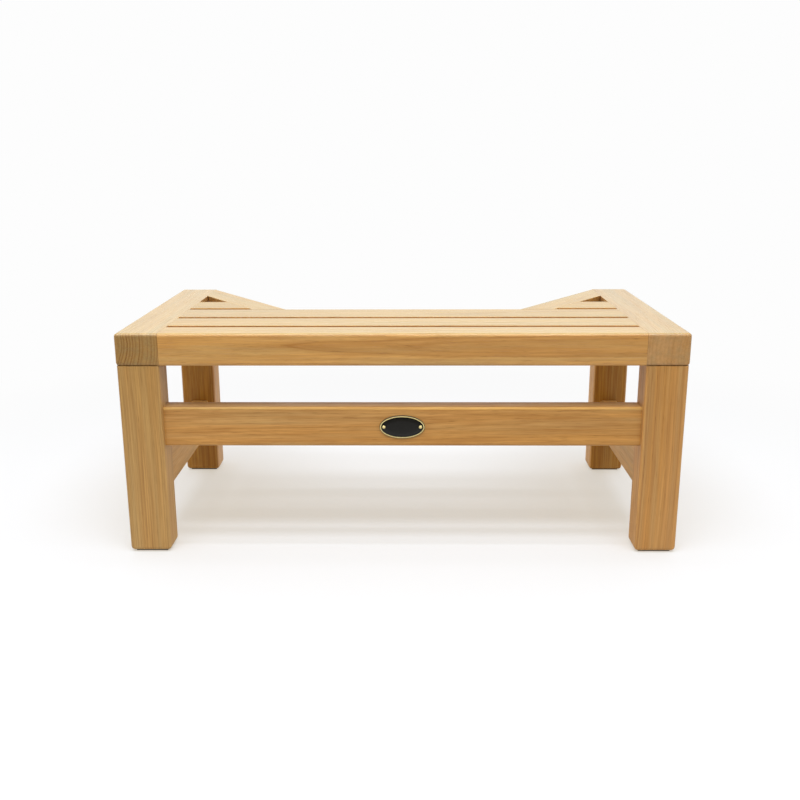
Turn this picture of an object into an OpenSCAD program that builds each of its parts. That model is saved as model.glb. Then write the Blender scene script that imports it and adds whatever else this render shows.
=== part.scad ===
// Toilet stool: a low slatted wooden stool whose rear is cut back to go round the foot of a toilet bowl.
// Sizes are in millimetres. The origin is on the floor under the middle of the stool,
// +X points to the right, +Y to the rear and +Z up. Boards are joined by tenons and dowels.

/* [Overall] */
// Width over the side rails
stool_w = 520; // [440:5:640]
// Depth over the side rails
stool_d = 275; // [245:5:340]
// Height of the top above the floor
stool_h = 212; // [190:1:300]

/* [Top frame] */
// Thickness of the rails round the top
frame_t = 30; // [26:1:40]
// Width of each side rail
side_rail_w = 39.5; // [34:0.5:48]
// Width of the front rail
front_rail_w = 33; // [30:1:44]
// Width of the rail in front of the recess
middle_rail_w = 45; // [34:1:48]
// Width of each diagonal rail
diagonal_w = 30; // [26:1:34]
// Width of the recess at the middle rail
recess_w = 237; // [200:1:260]

/* [Slats] */
// Width of the full slat
slat_w = 40; // [30:1:48]
// Width of each corner slat
corner_slat_w = 42; // [34:1:46]
// Thickness of the slats
slat_t = 22; // [16:1:26]
// Gap between neighbouring boards of the top
slat_gap = 7; // [5:0.5:9]

/* [Legs] */
// Width of a leg, side to side
leg_w = 38.5; // [34:0.5:42]
// Depth of a leg, front to rear
leg_d = 30; // [29:0.5:38]
// Step from the faces of the top frame in to the faces of a leg
leg_reveal = 0.5; // [0:0.25:2]
// Further step of the rear legs from the rear of the top towards the front
rear_leg_inset = 7; // [0:0.5:9]
// Thickness of the pad under a leg
pad_t = 1.2; // [1:0.1:3]
// Step from the faces of a leg in to the edge of its pad
pad_inset = 4; // [3:0.5:8]

/* [Stretchers] */
// Thickness of the stretchers
stretcher_t = 20; // [16:1:21]
// Height of the stretchers from edge to edge
stretcher_h = 38; // [30:1:46]
// Height of the lower edge of the front stretcher above the floor
front_stretcher_z = 104; // [96:1:110]
// Height of the lower edge of the side stretchers above the floor
side_stretcher_z = 48.5; // [30:0.5:50]
// Step from the front faces of the legs in to the front stretcher
front_setback = 6; // [3:0.5:7]
// Step from the outer faces of the legs in to a side stretcher
side_setback = 10; // [5:0.5:11]

/* [Edges] */
// Radius of the arrises that hands and feet meet
arris_r = 3; // [1:0.5:4]
// Radius of the arrises round the lower end of a leg
foot_arris_r = 4; // [2:0.5:6]
// Radius of the arrises along the gaps of the top
gap_arris_r = 1.5; // [0.5:0.25:2]
// Radius of the arrises where two boards meet flush
flush_arris_r = 0.5; // [0.2:0.1:1]

/* [Joints] */
// Gap on each side of a tenon in its mortise
fit_gap = 0.15; // [0.05:0.05:0.3]
// Gap between the end of a tenon or dowel and the bottom of its hole
end_gap = 1; // [0.5:0.1:1.5]
// Wood left between two mortises that come near each other
mortise_wall = 2; // [1:0.5:3]
// Size of a leg's tenon across the side rail
leg_tenon_w = 16; // [12:1:18]
// Size of a leg's tenon along the side rail
leg_tenon_d = 18; // [14:1:22]
// Height of a leg's tenon
leg_tenon_l = 18; // [12:1:20]
// Thickness of the tenons on the rails of the top
rail_tenon_t = 12; // [8:1:14]
// Thickness of the tenons on the slats
slat_tenon_t = 10; // [6:1:11]
// Length of the tenons on the slats and the middle rail
slat_tenon_l = 14; // [8:1:20]
// Step from the edges of a board of the top in to its tenon
tenon_shoulder = 6; // [4:0.5:8]
// Step from the edges of a diagonal rail's end in to its tenon
diagonal_shoulder = 11; // [9:0.5:13]
// Thickness of the tenons on the stretchers
stretcher_tenon_t = 10; // [7:1:12]
// Length of the tenons on the stretchers
stretcher_tenon_l = 18; // [12:1:22]
// Step from the edges of a stretcher in to its tenon
stretcher_shoulder = 5; // [3:0.5:7]
// Diameter of the dowels
dowel_d = 6; // [4:0.5:7]
// Length of the dowels
dowel_l = 30; // [20:1:34]
// Distance between the two dowels of a diagonal rail
dowel_pitch = 11; // [9:0.5:12]

/* [Nameplate] */
// Width of the oval plate
plate_w = 42; // [30:1:60]
// Height of the oval plate
plate_h = 22; // [16:1:26]
// Thickness of the plate under its enamel
plate_t = 0.8; // [0.6:0.1:1.5]
// Width of the raised rim
plate_rim_w = 1.3; // [0.8:0.1:2]
// Height of the rim above the plate
plate_rim_h = 0.7; // [0.5:0.1:1.2]
// Thickness of the enamel in the rim
enamel_t = 0.4; // [0.2:0.1:0.5]
// Diameter of a pin
pin_d = 1.4; // [1:0.1:1.8]
// Diameter of a pin's head
pin_head_d = 2.6; // [2.2:0.1:3]
// Height of a pin's head
pin_head_t = 0.7; // [0.4:0.1:1]
// Length of a pin in the wood
pin_l = 8; // [5:0.5:12]
// Distance from the end of the plate to a pin's axis
pin_inset = 4; // [3.5:0.1:6]

/* [Hidden] */

// Flats that each quarter round of an arris is made of
arris_flats = 4;
// Sides of the oval outlines
oval_sides = 72;
// How far a cut runs past the face it starts from, and a tenon back into its own board
root = 1;
$fn = 48;

// Planes of the top frame
frame_z = stool_h - frame_t;
slat_z = stool_h - slat_t;
front_y = -stool_d / 2;
rear_y = stool_d / 2;
outer_x = stool_w / 2;
inner_x = outer_x - side_rail_w;
inner_span = 2 * inner_x;

// Front edge of each board of the top, from the front to the rear
front_slat_y = front_y + front_rail_w + slat_gap;
middle_rail_y = front_slat_y + slat_w + slat_gap;
recess_y = middle_rail_y + middle_rail_w;
corner_slat_y = recess_y + slat_gap;

// A diagonal rail runs from the rear end of a side rail to the corner of the recess
recess_x = recess_w / 2;
diagonal_turn = atan2(inner_x - recess_x, rear_y - recess_y);
diagonal_run = norm([inner_x - recess_x, rear_y - recess_y]);
diagonal_end_y = diagonal_w / sin(diagonal_turn);
diagonal_end_x = diagonal_w / cos(diagonal_turn);

// Legs
leg_h = frame_z - pad_t;
leg_face_x = outer_x - leg_reveal - leg_w;
leg_face_y = rear_y - leg_reveal - leg_d;
leg_mid_x = leg_face_x + leg_w / 2;
leg_mid_y = leg_face_y + leg_d / 2;
stub_l = leg_mid_x - leg_tenon_w / 2 - inner_x - mortise_wall;

// Stretchers
front_stretcher_y = front_y + leg_reveal + front_setback;
side_stretcher_x = outer_x - leg_reveal - side_setback - stretcher_t;

// Colours
pale_wood = "#d9b27c";
warm_wood = "#c4955a";
dowel_wood = "#cfa66c";

// Points of one rounded corner with its centre at c, or the corner itself where r is 0
function corner_points(c, r, from) = r > 0
    ? [for (i = [0:arris_flats]) c + r * [cos(from + 90 * i / arris_flats), sin(from + 90 * i / arris_flats)]]
    : [c];

// Outline of a w by h rectangle on the origin, r holding the radius of each corner in turn
function rounded_outline(w, h, r) = concat(
    corner_points([r[0], r[0]], r[0], 180),
    corner_points([w - r[1], r[1]], r[1], 270),
    corner_points([w - r[2], h - r[2]], r[2], 0),
    corner_points([r[3], h - r[3]], r[3], 90));

// Outline of an oval about the origin
function oval(w, h) = [for (i = [1:oval_sides])
    [w / 2 * cos(360 * i / oval_sides), h / 2 * sin(360 * i / oval_sides)]];

// Prism along X from a section drawn in Y and Z
module along_x(l) rotate([90, 0, 90]) linear_extrude(l) children();

// Prism along Y from a section drawn in X and Z
module along_y(l) translate([0, l, 0]) rotate([90, 0, 0]) linear_extrude(l) children();

// Tenon that stands up from the origin, a by b in section. With gap and end it is its own mortise.
module tenon(a, b, l, gap = 0, end = 0)
    translate([-a / 2 - gap, -b / 2 - gap, -root]) cube([a + 2 * gap, b + 2 * gap, l + end + root]);

// Board along X between the side rails, its front edge at y
module cross_board(y, w, t, r)
    translate([-inner_x, y, stool_h - t]) along_x(inner_span) polygon(rounded_outline(w, t, r));

// Tenon on the left end of a board between the side rails, or its mortise
module cross_tenon(y, w, t, tenon_t, l, gap = 0, end = 0)
    translate([-inner_x, y + w / 2, stool_h - t / 2]) rotate([0, -90, 0])
        tenon(tenon_t, w - 2 * tenon_shoulder, l, gap, end);

// Mirrors its child from the front legs to the rear legs
module to_rear() translate([0, -rear_leg_inset, 0]) mirror([0, 1, 0]) children();

// The four tenons that enter the left side rail from boards of the top, or their mortises
module front_rail_tenon(gap = 0, end = 0)
    cross_tenon(front_y, front_rail_w, frame_t, rail_tenon_t, stub_l, gap, end);
module front_slat_tenon(gap = 0, end = 0)
    cross_tenon(front_slat_y, slat_w, slat_t, slat_tenon_t, slat_tenon_l, gap, end);
module middle_rail_tenon(gap = 0, end = 0)
    cross_tenon(middle_rail_y, middle_rail_w, frame_t, rail_tenon_t, slat_tenon_l, gap, end);
module corner_slat_tenon(gap = 0, end = 0)
    cross_tenon(corner_slat_y, corner_slat_w, slat_t, slat_tenon_t, slat_tenon_l, gap, end);

// Tenon of the left diagonal rail in the left side rail, or its mortise
module diagonal_tenon(gap = 0, end = 0)
    translate([-inner_x, rear_y - diagonal_end_y / 2, frame_z + frame_t / 2]) rotate([0, -90, 0])
        tenon(rail_tenon_t, diagonal_end_y - 2 * diagonal_shoulder, stub_l, gap, end);

// Tenon on top of the front left leg, or its mortise
module leg_tenon(gap = 0, end = 0)
    translate([-leg_mid_x, -leg_mid_y, frame_z]) tenon(leg_tenon_w, leg_tenon_d, leg_tenon_l, gap, end);

// Tenon on the left end of the front stretcher, or its mortise
module front_stretcher_tenon(gap = 0, end = 0)
    translate([-leg_face_x, front_stretcher_y + stretcher_t / 2, front_stretcher_z + stretcher_h / 2])
        rotate([0, -90, 0])
            tenon(stretcher_h - 2 * stretcher_shoulder, stretcher_tenon_t, stretcher_tenon_l, gap, end);

// Tenon on the front end of the left side stretcher, or its mortise
module side_stretcher_tenon(gap = 0, end = 0)
    translate([-side_stretcher_x - stretcher_t / 2, -leg_face_y, side_stretcher_z + stretcher_h / 2])
        rotate([90, 0, 0])
            tenon(stretcher_tenon_t, stretcher_h - 2 * stretcher_shoulder, stretcher_tenon_l, gap, end);

// Places its child with the origin at the left corner of the recess, +Y along the left diagonal rail
// towards the rear and +X towards the recess
module on_diagonal() translate([-recess_x, recess_y, frame_z]) rotate([0, 0, diagonal_turn]) children();

// Solid of everything on the corner side of the left diagonal rail's inner face
module corner_side()
    on_diagonal() translate([-diagonal_w - stool_w, -stool_d, -frame_t])
        cube([stool_w, 2 * stool_d, 3 * frame_t]);

// The two dowels between the left diagonal rail and the middle rail, or their holes
module diagonal_dowel_pair(gap = 0, end = 0) {
    reach = dowel_l / 2;
    mid_x = recess_x + (diagonal_end_x + reach * tan(diagonal_turn)) / 2;
    for (side = [-1, 1])
        translate([-mid_x + side * dowel_pitch / 2, recess_y - reach - end, frame_z + frame_t / 2])
            rotate([-90, 0, 0]) cylinder(h = dowel_l + 2 * end, d = dowel_d + 2 * gap);
}

// The dowel between the left corner slat and the left diagonal rail, or its hole
module corner_slat_dowel(gap = 0, end = 0) {
    along = (slat_gap + corner_slat_w / 2) / cos(diagonal_turn) + diagonal_w * tan(diagonal_turn);
    on_diagonal() translate([-diagonal_w - dowel_l / 2 - end, along, slat_z + slat_t / 2 - frame_z])
        rotate([0, 90, 0]) cylinder(h = dowel_l + 2 * end, d = dowel_d + 2 * gap);
}

module side_rail_left() {
    ends = [arris_r, arris_r, arris_r, arris_r];
    outer_side = [arris_r, flush_arris_r, flush_arris_r, arris_r];
    color(pale_wood) difference() {
        translate([-outer_x, front_y, frame_z]) intersection() {
            along_y(stool_d) polygon(rounded_outline(side_rail_w, frame_t, outer_side));
            linear_extrude(frame_t) polygon(rounded_outline(side_rail_w, stool_d, outer_side));
            along_x(side_rail_w) polygon(rounded_outline(stool_d, frame_t, ends));
        }
        front_rail_tenon(fit_gap, end_gap);
        front_slat_tenon(fit_gap, end_gap);
        middle_rail_tenon(fit_gap, end_gap);
        corner_slat_tenon(fit_gap, end_gap);
        diagonal_tenon(fit_gap, end_gap / 2);
        leg_tenon(fit_gap, end_gap);
        to_rear() leg_tenon(fit_gap, end_gap);
    }
}

module side_rail_right() mirror([1, 0, 0]) side_rail_left();

module front_rail() {
    color(warm_wood) union() {
        cross_board(front_y, front_rail_w, frame_t, [arris_r, gap_arris_r, gap_arris_r, arris_r]);
        front_rail_tenon();
        mirror([1, 0, 0]) front_rail_tenon();
    }
}

module front_slat() {
    color(pale_wood) union() {
        cross_board(front_slat_y, slat_w, slat_t, [for (i = [1:4]) gap_arris_r]);
        front_slat_tenon();
        mirror([1, 0, 0]) front_slat_tenon();
    }
}

module middle_rail() {
    color(pale_wood) difference() {
        union() {
            cross_board(middle_rail_y, middle_rail_w, frame_t, [for (i = [1:4]) gap_arris_r]);
            middle_rail_tenon();
            mirror([1, 0, 0]) middle_rail_tenon();
        }
        diagonal_dowel_pair(fit_gap, end_gap);
        mirror([1, 0, 0]) diagonal_dowel_pair(fit_gap, end_gap);
    }
}

module corner_slat_left() {
    color(pale_wood) difference() {
        union() {
            intersection() {
                cross_board(corner_slat_y, corner_slat_w, slat_t, [for (i = [1:4]) gap_arris_r]);
                corner_side();
            }
            corner_slat_tenon();
        }
        corner_slat_dowel(fit_gap, end_gap);
    }
}

module corner_slat_right() mirror([1, 0, 0]) corner_slat_left();

module diagonal_rail_left() {
    spare = stool_d;
    color(pale_wood) difference() {
        union() {
            intersection() {
                on_diagonal() translate([-diagonal_w, -spare, 0]) along_y(diagonal_run + 2 * spare)
                    polygon(rounded_outline(diagonal_w, frame_t,
                                            [flush_arris_r, arris_r, arris_r, flush_arris_r]));
                translate([-inner_x, recess_y, frame_z - root])
                    cube([inner_x, rear_y - recess_y, frame_t + 2 * root]);
            }
            diagonal_tenon();
        }
        diagonal_dowel_pair(fit_gap, end_gap);
        corner_slat_dowel(fit_gap, end_gap);
    }
}

module diagonal_rail_right() mirror([1, 0, 0]) diagonal_rail_left();

// Front left leg without its stretcher mortises
module leg_blank() {
    section = [for (i = [1:4]) arris_r];
    side = [foot_arris_r, foot_arris_r, 0, 0];
    translate([-leg_face_x - leg_w, -leg_face_y - leg_d, pad_t]) intersection() {
        linear_extrude(leg_h) polygon(rounded_outline(leg_w, leg_d, section));
        along_x(leg_w) polygon(rounded_outline(leg_d, leg_h, side));
        along_y(leg_d) polygon(rounded_outline(leg_w, leg_h, side));
    }
    leg_tenon();
}

module leg_front_left() {
    color(warm_wood) difference() {
        leg_blank();
        front_stretcher_tenon(fit_gap, end_gap);
        side_stretcher_tenon(fit_gap, end_gap);
    }
}

module leg_front_right() mirror([1, 0, 0]) leg_front_left();

module leg_rear_left() {
    color(warm_wood) to_rear() difference() {
        leg_blank();
        side_stretcher_tenon(fit_gap, end_gap);
    }
}

module leg_rear_right() mirror([1, 0, 0]) leg_rear_left();

module front_stretcher() {
    color(warm_wood) difference() {
        union() {
            translate([-leg_face_x, front_stretcher_y, front_stretcher_z]) along_x(2 * leg_face_x)
                polygon(rounded_outline(stretcher_t, stretcher_h, [for (i = [1:4]) arris_r]));
            front_stretcher_tenon();
            mirror([1, 0, 0]) front_stretcher_tenon();
        }
        pin_shanks(fit_gap / 2, end_gap);
    }
}

module side_stretcher_left() {
    color(warm_wood) union() {
        translate([-side_stretcher_x - stretcher_t, -leg_face_y, side_stretcher_z])
            along_y(2 * leg_face_y - rear_leg_inset)
            polygon(rounded_outline(stretcher_t, stretcher_h, [for (i = [1:4]) arris_r]));
        side_stretcher_tenon();
        to_rear() side_stretcher_tenon();
    }
}

module side_stretcher_right() mirror([1, 0, 0]) side_stretcher_left();

module foot_pad_front_left() {
    pad_w = leg_w - 2 * pad_inset;
    pad_d = leg_d - 2 * pad_inset;
    color("#1d1b19") translate([-leg_face_x - leg_w + pad_inset, -leg_face_y - leg_d + pad_inset, 0])
        linear_extrude(pad_t) polygon(rounded_outline(pad_w, pad_d, [for (i = [1:4]) arris_r]));
}

module foot_pad_front_right() mirror([1, 0, 0]) foot_pad_front_left();

module foot_pad_rear_left() to_rear() foot_pad_front_left();

module foot_pad_rear_right() mirror([1, 0, 0]) foot_pad_rear_left();

module diagonal_dowels() {
    color(dowel_wood) union() {
        diagonal_dowel_pair();
        mirror([1, 0, 0]) diagonal_dowel_pair();
    }
}

module corner_slat_dowels() {
    color(dowel_wood) union() {
        corner_slat_dowel();
        mirror([1, 0, 0]) corner_slat_dowel();
    }
}

// Places its child on the front face of the front stretcher, with +Z out of the wood
module on_plate_seat()
    translate([0, front_stretcher_y, front_stretcher_z + stretcher_h / 2]) rotate([90, 0, 0]) children();

// Shanks of both pins from the bottom of the enamel back into the wood, or the holes for them
module pin_shanks(gap = 0, end = 0)
    on_plate_seat() for (side = [-1, 1])
        translate([side * (plate_w / 2 - pin_inset), 0, -pin_l - end])
            cylinder(h = pin_l + end + plate_t + enamel_t, d = pin_d + 2 * gap);

module nameplate() {
    color("#c9a24a") difference() {
        on_plate_seat() linear_extrude(plate_t + plate_rim_h) polygon(oval(plate_w, plate_h));
        on_plate_seat() translate([0, 0, plate_t]) linear_extrude(plate_rim_h + root)
            polygon(oval(plate_w - 2 * plate_rim_w, plate_h - 2 * plate_rim_w));
        pin_shanks(fit_gap / 2, end_gap);
    }
}

module nameplate_enamel() {
    color("#17150f") difference() {
        on_plate_seat() translate([0, 0, plate_t]) linear_extrude(enamel_t)
            polygon(oval(plate_w - 2 * plate_rim_w - 2 * fit_gap, plate_h - 2 * plate_rim_w - 2 * fit_gap));
        pin_shanks(fit_gap / 2, end_gap);
    }
}

// A pin's head is a shallow dome: the part of a ball above the plane of the enamel
module nameplate_pins() {
    ball_r = (pow(pin_head_d / 2, 2) + pow(pin_head_t, 2)) / (2 * pin_head_t);
    color("#d0aa55") union() {
        pin_shanks();
        on_plate_seat() for (side = [-1, 1])
            translate([side * (plate_w / 2 - pin_inset), 0, plate_t + enamel_t]) intersection() {
                translate([0, 0, pin_head_t - ball_r]) sphere(r = ball_r);
                cylinder(h = pin_head_t + root, r = pin_head_d);
            }
    }
}

side_rail_left();
side_rail_right();
front_rail();
middle_rail();
front_slat();
corner_slat_left();
corner_slat_right();
diagonal_rail_left();
diagonal_rail_right();
leg_front_left();
leg_front_right();
leg_rear_left();
leg_rear_right();
front_stretcher();
side_stretcher_left();
side_stretcher_right();
foot_pad_front_left();
foot_pad_front_right();
foot_pad_rear_left();
foot_pad_rear_right();
diagonal_dowels();
corner_slat_dowels();
nameplate();
nameplate_enamel();
nameplate_pins();
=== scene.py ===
"""Low slatted teak stool that stands in front of a toilet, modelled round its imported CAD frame.

Each board is a box cut to shape with rounded arrises, and its teak has its own place in the log. Lengths
are in metres, in the frame of the CAD model: the origin is on the floor under the middle, +X points to the
right, +Y to the rear and +Z up.
"""

import math
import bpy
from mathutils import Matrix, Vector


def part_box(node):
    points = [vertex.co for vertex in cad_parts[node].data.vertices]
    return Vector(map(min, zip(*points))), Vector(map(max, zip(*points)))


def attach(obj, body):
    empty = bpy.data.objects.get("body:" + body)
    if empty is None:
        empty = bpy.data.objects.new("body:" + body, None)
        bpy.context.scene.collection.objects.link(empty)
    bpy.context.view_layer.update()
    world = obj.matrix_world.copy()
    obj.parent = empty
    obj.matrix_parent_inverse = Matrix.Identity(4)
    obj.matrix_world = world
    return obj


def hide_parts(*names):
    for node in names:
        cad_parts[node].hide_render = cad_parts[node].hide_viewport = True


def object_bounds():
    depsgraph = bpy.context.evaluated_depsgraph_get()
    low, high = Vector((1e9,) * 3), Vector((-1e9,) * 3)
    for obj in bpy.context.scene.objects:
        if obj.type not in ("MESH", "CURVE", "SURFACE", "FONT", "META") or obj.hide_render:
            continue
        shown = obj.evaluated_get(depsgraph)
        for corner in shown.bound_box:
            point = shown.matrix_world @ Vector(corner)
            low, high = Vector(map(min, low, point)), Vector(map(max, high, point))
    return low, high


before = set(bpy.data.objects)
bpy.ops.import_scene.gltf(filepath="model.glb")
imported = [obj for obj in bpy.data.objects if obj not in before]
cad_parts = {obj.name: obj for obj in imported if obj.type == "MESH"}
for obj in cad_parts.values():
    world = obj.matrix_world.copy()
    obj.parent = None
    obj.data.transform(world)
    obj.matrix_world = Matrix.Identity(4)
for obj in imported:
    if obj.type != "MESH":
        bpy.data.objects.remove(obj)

from types import SimpleNamespace

import bmesh
import bpy
from mathutils import Matrix, Vector

CAD_LOW, CAD_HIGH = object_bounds()

bl_info = {
    "name": "Toilet stool",
    "version": (1, 0, 0),
    "blender": (4, 5, 0),
    "location": "View3D > Sidebar > Stool",
    "description": "Models a slatted teak stool board by board round its CAD frame",
    "category": "Add Mesh",
}

MM = 0.001
# Two places closer than this count as one
NEAR = 0.01 * MM
ALONG_X, ALONG_Y, ALONG_Z = (1, 0, 0), (0, 1, 0), (0, 0, 1)
FRONT = (0, -1, 0)


def linear(colour):
    """Linear red, green and blue of an sRGB hex colour."""
    parts = [int(colour[i:i + 2], 16) / 255 for i in (1, 3, 5)]
    return tuple(c / 12.92 if c <= 0.04045 else ((c + 0.055) / 1.055) ** 2.4 for c in parts)


def length(name, description, default):
    """A property that holds a length in metres."""
    return bpy.props.FloatProperty(name=name, description=description, default=default, min=0.0,
                                   subtype="DISTANCE", unit="LENGTH", precision=4)


def colour(name, description, default):
    """A property that holds a colour, given as an sRGB hex colour."""
    return bpy.props.FloatVectorProperty(name=name, description=description, default=linear(default),
                                         size=3, min=0.0, max=1.0, subtype="COLOR")


def factors(name, description, default):
    """A property that holds factors for red, green and blue light."""
    return bpy.props.FloatVectorProperty(name=name, description=description, default=default, size=3,
                                         min=0.0)


def angle(name, description, default):
    """A property that holds an angle in radians."""
    return bpy.props.FloatProperty(name=name, description=description, default=default, subtype="ANGLE",
                                   unit="ROTATION", precision=4)


def amount(name, description, default):
    """A property that holds a share, a strength or a power."""
    return bpy.props.FloatProperty(name=name, description=description, default=default, min=0.0)


class StoolTopSettings(bpy.types.PropertyGroup):
    """Sizes of the boards that form the top."""

    width: length("Width", "Width over the side rails", CAD_HIGH.x - CAD_LOW.x)
    depth: length("Depth", "Depth over the side rails", CAD_HIGH.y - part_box("side_rail_left")[0].y)
    height: length("Height", "Height of the top above the floor", CAD_HIGH.z)
    frame_thickness: length("Frame thickness", "Thickness of the rails round the top", 30 * MM)
    side_rail_width: length("Side rail width", "Width of each side rail", 39.5 * MM)
    front_rail_width: length("Front rail width", "Width of the front rail", 33 * MM)
    middle_rail_width: length("Middle rail width", "Width of the rail in front of the recess", 45 * MM)
    diagonal_width: length("Diagonal rail width", "Width of each diagonal rail", 30 * MM)
    recess_width: length("Recess width", "Width of the recess at the middle rail", 237 * MM)
    slat_width: length("Slat width", "Width of the full slat", 40 * MM)
    corner_slat_width: length("Corner slat width", "Width of each corner slat", 42 * MM)
    slat_thickness: length("Slat thickness", "Thickness of the slats", 22 * MM)
    gap: length("Gap", "Gap between neighbouring boards of the top", 7 * MM)
    arris: length("Arris radius", "Radius of the arrises that hands and feet meet", 3 * MM)
    gap_arris: length("Gap arris radius", "Radius of the arrises along the gaps", 1.0 * MM)
    flush_arris: length("Flush arris radius", "Radius of the arrises where two boards meet flush", 0.5 * MM)


class StoolFrameSettings(bpy.types.PropertyGroup):
    """Sizes of the legs and the stretchers."""

    leg_width: length("Leg width", "Width of a leg from side to side", 38.5 * MM)
    leg_depth: length("Leg depth", "Depth of a leg from front to rear", 30 * MM)
    leg_reveal: length("Leg reveal", "Step from the faces of the top in to the faces of a leg", 0.5 * MM)
    rear_leg_inset: length("Rear leg inset", "Further step of the rear legs from the top's rear", 7 * MM)
    foot_arris: length("Foot arris radius", "Radius of the arrises round the lower end of a leg", 4 * MM)
    pad_thickness: length("Pad thickness", "Thickness of the pad under a leg", 1.2 * MM)
    pad_inset: length("Pad inset", "Step from the faces of a leg in to the edge of its pad", 4 * MM)
    pad_arris: length("Pad arris radius", "Radius of the arris round the lower face of a pad", 0.25 * MM)
    stretcher_thickness: length("Stretcher thickness", "Thickness of the stretchers", 20 * MM)
    stretcher_height: length("Stretcher height", "Height of the stretchers from edge to edge", 38 * MM)
    front_stretcher_z: length("Front stretcher place", "Height of its lower edge", 104 * MM)
    side_stretcher_z: length("Side stretcher place", "Height of their lower edges", 48.5 * MM)
    front_setback: length("Front setback", "Step from the legs' front faces in to the stretcher", 6 * MM)
    side_setback: length("Side setback", "Step from the legs' outer faces in to a side stretcher", 10 * MM)


class StoolPlateSettings(bpy.types.PropertyGroup):
    """Sizes of the oval plate on the front stretcher."""

    width: length("Width", "Width of the oval plate", 42 * MM)
    height: length("Height", "Height of the oval plate", 22 * MM)
    thickness: length("Thickness", "Thickness of the plate under its enamel", 0.8 * MM)
    rim_width: length("Rim width", "Width of the raised rim", 1.4 * MM)
    rim_slope: length("Rim slope", "Radius of the rim's outer arris", 0.7 * MM)
    rim_inner_arris: length("Rim inner arris", "Radius of the rim's inner arris", 0.2 * MM)
    rim_height: length("Rim height", "Height of the rim above the plate", 0.7 * MM)
    enamel: length("Enamel thickness", "Thickness of the enamel in the rim", 0.4 * MM)
    enamel_gap: length("Enamel gap", "Gap between the enamel and the rim", 0.15 * MM)
    pin_diameter: length("Pin diameter", "Diameter of a pin", 1.4 * MM)
    pin_head: length("Pin head", "Diameter of a pin's domed head", 3.0 * MM)
    pin_head_height: length("Pin head height", "Height of a pin's head above the enamel", 0.7 * MM)
    pin_depth: length("Pin depth", "How far a pin reaches into the stretcher", 8 * MM)
    pin_inset: length("Pin inset", "Distance from the end of the plate to a pin", 4 * MM)
    brass_colour: colour("Brass", "Colour of the plate and its pins", "#FFE9A0")
    # Painted shade: the dark colour put on the rim's outer slope and on the sides of the pin heads
    painted_edge_shade: colour("Edge lacquer", "Colour of the lacquer left on the edge of the rim", "#2A261C")
    enamel_colour: colour("Enamel", "Colour of the enamel", "#201E1A")


class StoolTeakSettings(bpy.types.PropertyGroup):
    """Colours and grain of the teak."""

    pale: colour("Pale teak", "Colour of the palest wood between two rings", "#CC9C5B")
    golden: colour("Golden teak", "Main colour of the wood", "#C49049")
    brown: colour("Brown teak", "Colour of the dark side of a ring", "#94602A")
    grey: colour("Grey teak", "Colour of the greyer streaks", "#B0935F")
    pore: colour("Pores", "Colour of the open pores", "#6A431C")
    end_grain: colour("End grain", "Tint of the cut ends", "#DCE1DB")
    # Painted light: these factors lighten and yellow the upper faces of the top for the light that falls on
    # them
    painted_top_light: factors("Bleach", "What sanding does to the colour of the top", (1.03, 1.275, 1.45))
    # Painted light: these factors lighten the faces of the rear legs that are turned to the sides
    painted_side_light: factors("Ray lift", "How the faces across the rays differ in colour", (1.45, 1.72, 3.0))
    # Painted light: a highlight painted on the front stretcher's upper arris, and a shade painted on the
    # face behind it
    painted_arris_highlight: factors("Rubbed arris", "What wear does to the colour of an arris", (1.2, 1.32, 1.18))
    painted_face_shade: factors("Dull face", "What dust does to the colour of an upper face", (0.78, 0.88, 1.15))
    rubber_colour: colour("Rubber", "Colour of the pads under the legs", "#1B1918")
    # Painted shade: this tint darkens the faces down in the gaps, on the boards marked oiled, for the shade
    # there
    painted_gap_shade: colour("Oiled edges", "Tint of the edges along the gaps, which hold more oil", "#E6CDA8")
    beech_colour: colour("Beech", "Colour of the dowels", "#CFA878")


class StoolStageSettings(bpy.types.PropertyGroup):
    """Camera, lights and backdrop."""

    camera_place: bpy.props.FloatVectorProperty(
        name="Camera place", description="Where the camera stands", size=3, precision=4,
        default=(7.18 * MM, -975.64 * MM, 374.41 * MM), subtype="TRANSLATION", unit="LENGTH")
    camera_pitch: angle("Camera pitch", "How far the camera looks down", 0.2611)
    camera_turn: angle("Camera turn", "How far the camera turns to the right", -0.0108)
    camera_roll: angle("Camera roll", "How far the camera tips to the left", -0.0026)
    lens: bpy.props.FloatProperty(
        name="Lens", description="Focal length on a sensor 36 mm wide", default=42.77, min=1.0)
    backdrop: colour("Backdrop", "Colour of the background", "#FDFDFD")
    floor_size: length("Floor size", "Length of the floor's sides", 60.0)
    floor_near: length("Near floor", "Distance from the middle at which the floor starts to fade", 0.33)
    floor_far: length("Far floor", "Distance at which only the backdrop is seen", 0.85)
    floor: colour("Floor", "Share of its light that the camera sees on the floor", "#A2A9B5")
    floor_lift: colour("Floor lift", "Light that the camera sees on top of the lit floor", "#B6AE9E")
    floor_bounce: amount("Floor bounce", "Share of the floor's light that falls on the stool", 1.05)
    floor_dim: amount("Dim floor", "That share beyond the table's edge", 0.1)
    floor_gloss: amount("Floor in gloss", "Share of that light that the stool mirrors", 0.4)
    table_edge: length("Table edge", "Distance in front of the stool at which the lit floor ends", 0.42)
    table_fade: length("Table fade", "Half of the width over which it ends", 0.1)
    light_power: amount("Light power", "Power of the four softboxes together", 43.0)
    light_height: length("Light height", "Height of the softboxes above the floor", 1.85)
    light_width: length("Light width", "Width of the softboxes from side to side", 2.0)
    backdrop_foot: amount("Backdrop foot", "Strength of the light from the foot of the backdrop", 4.5)
    room_light: amount("Room light", "Strength of the light from the camera's side of the room", 0.45)


# Modelling helpers


def select_none():
    """Deselects every object."""
    bpy.ops.object.select_all(action="DESELECT")


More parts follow.
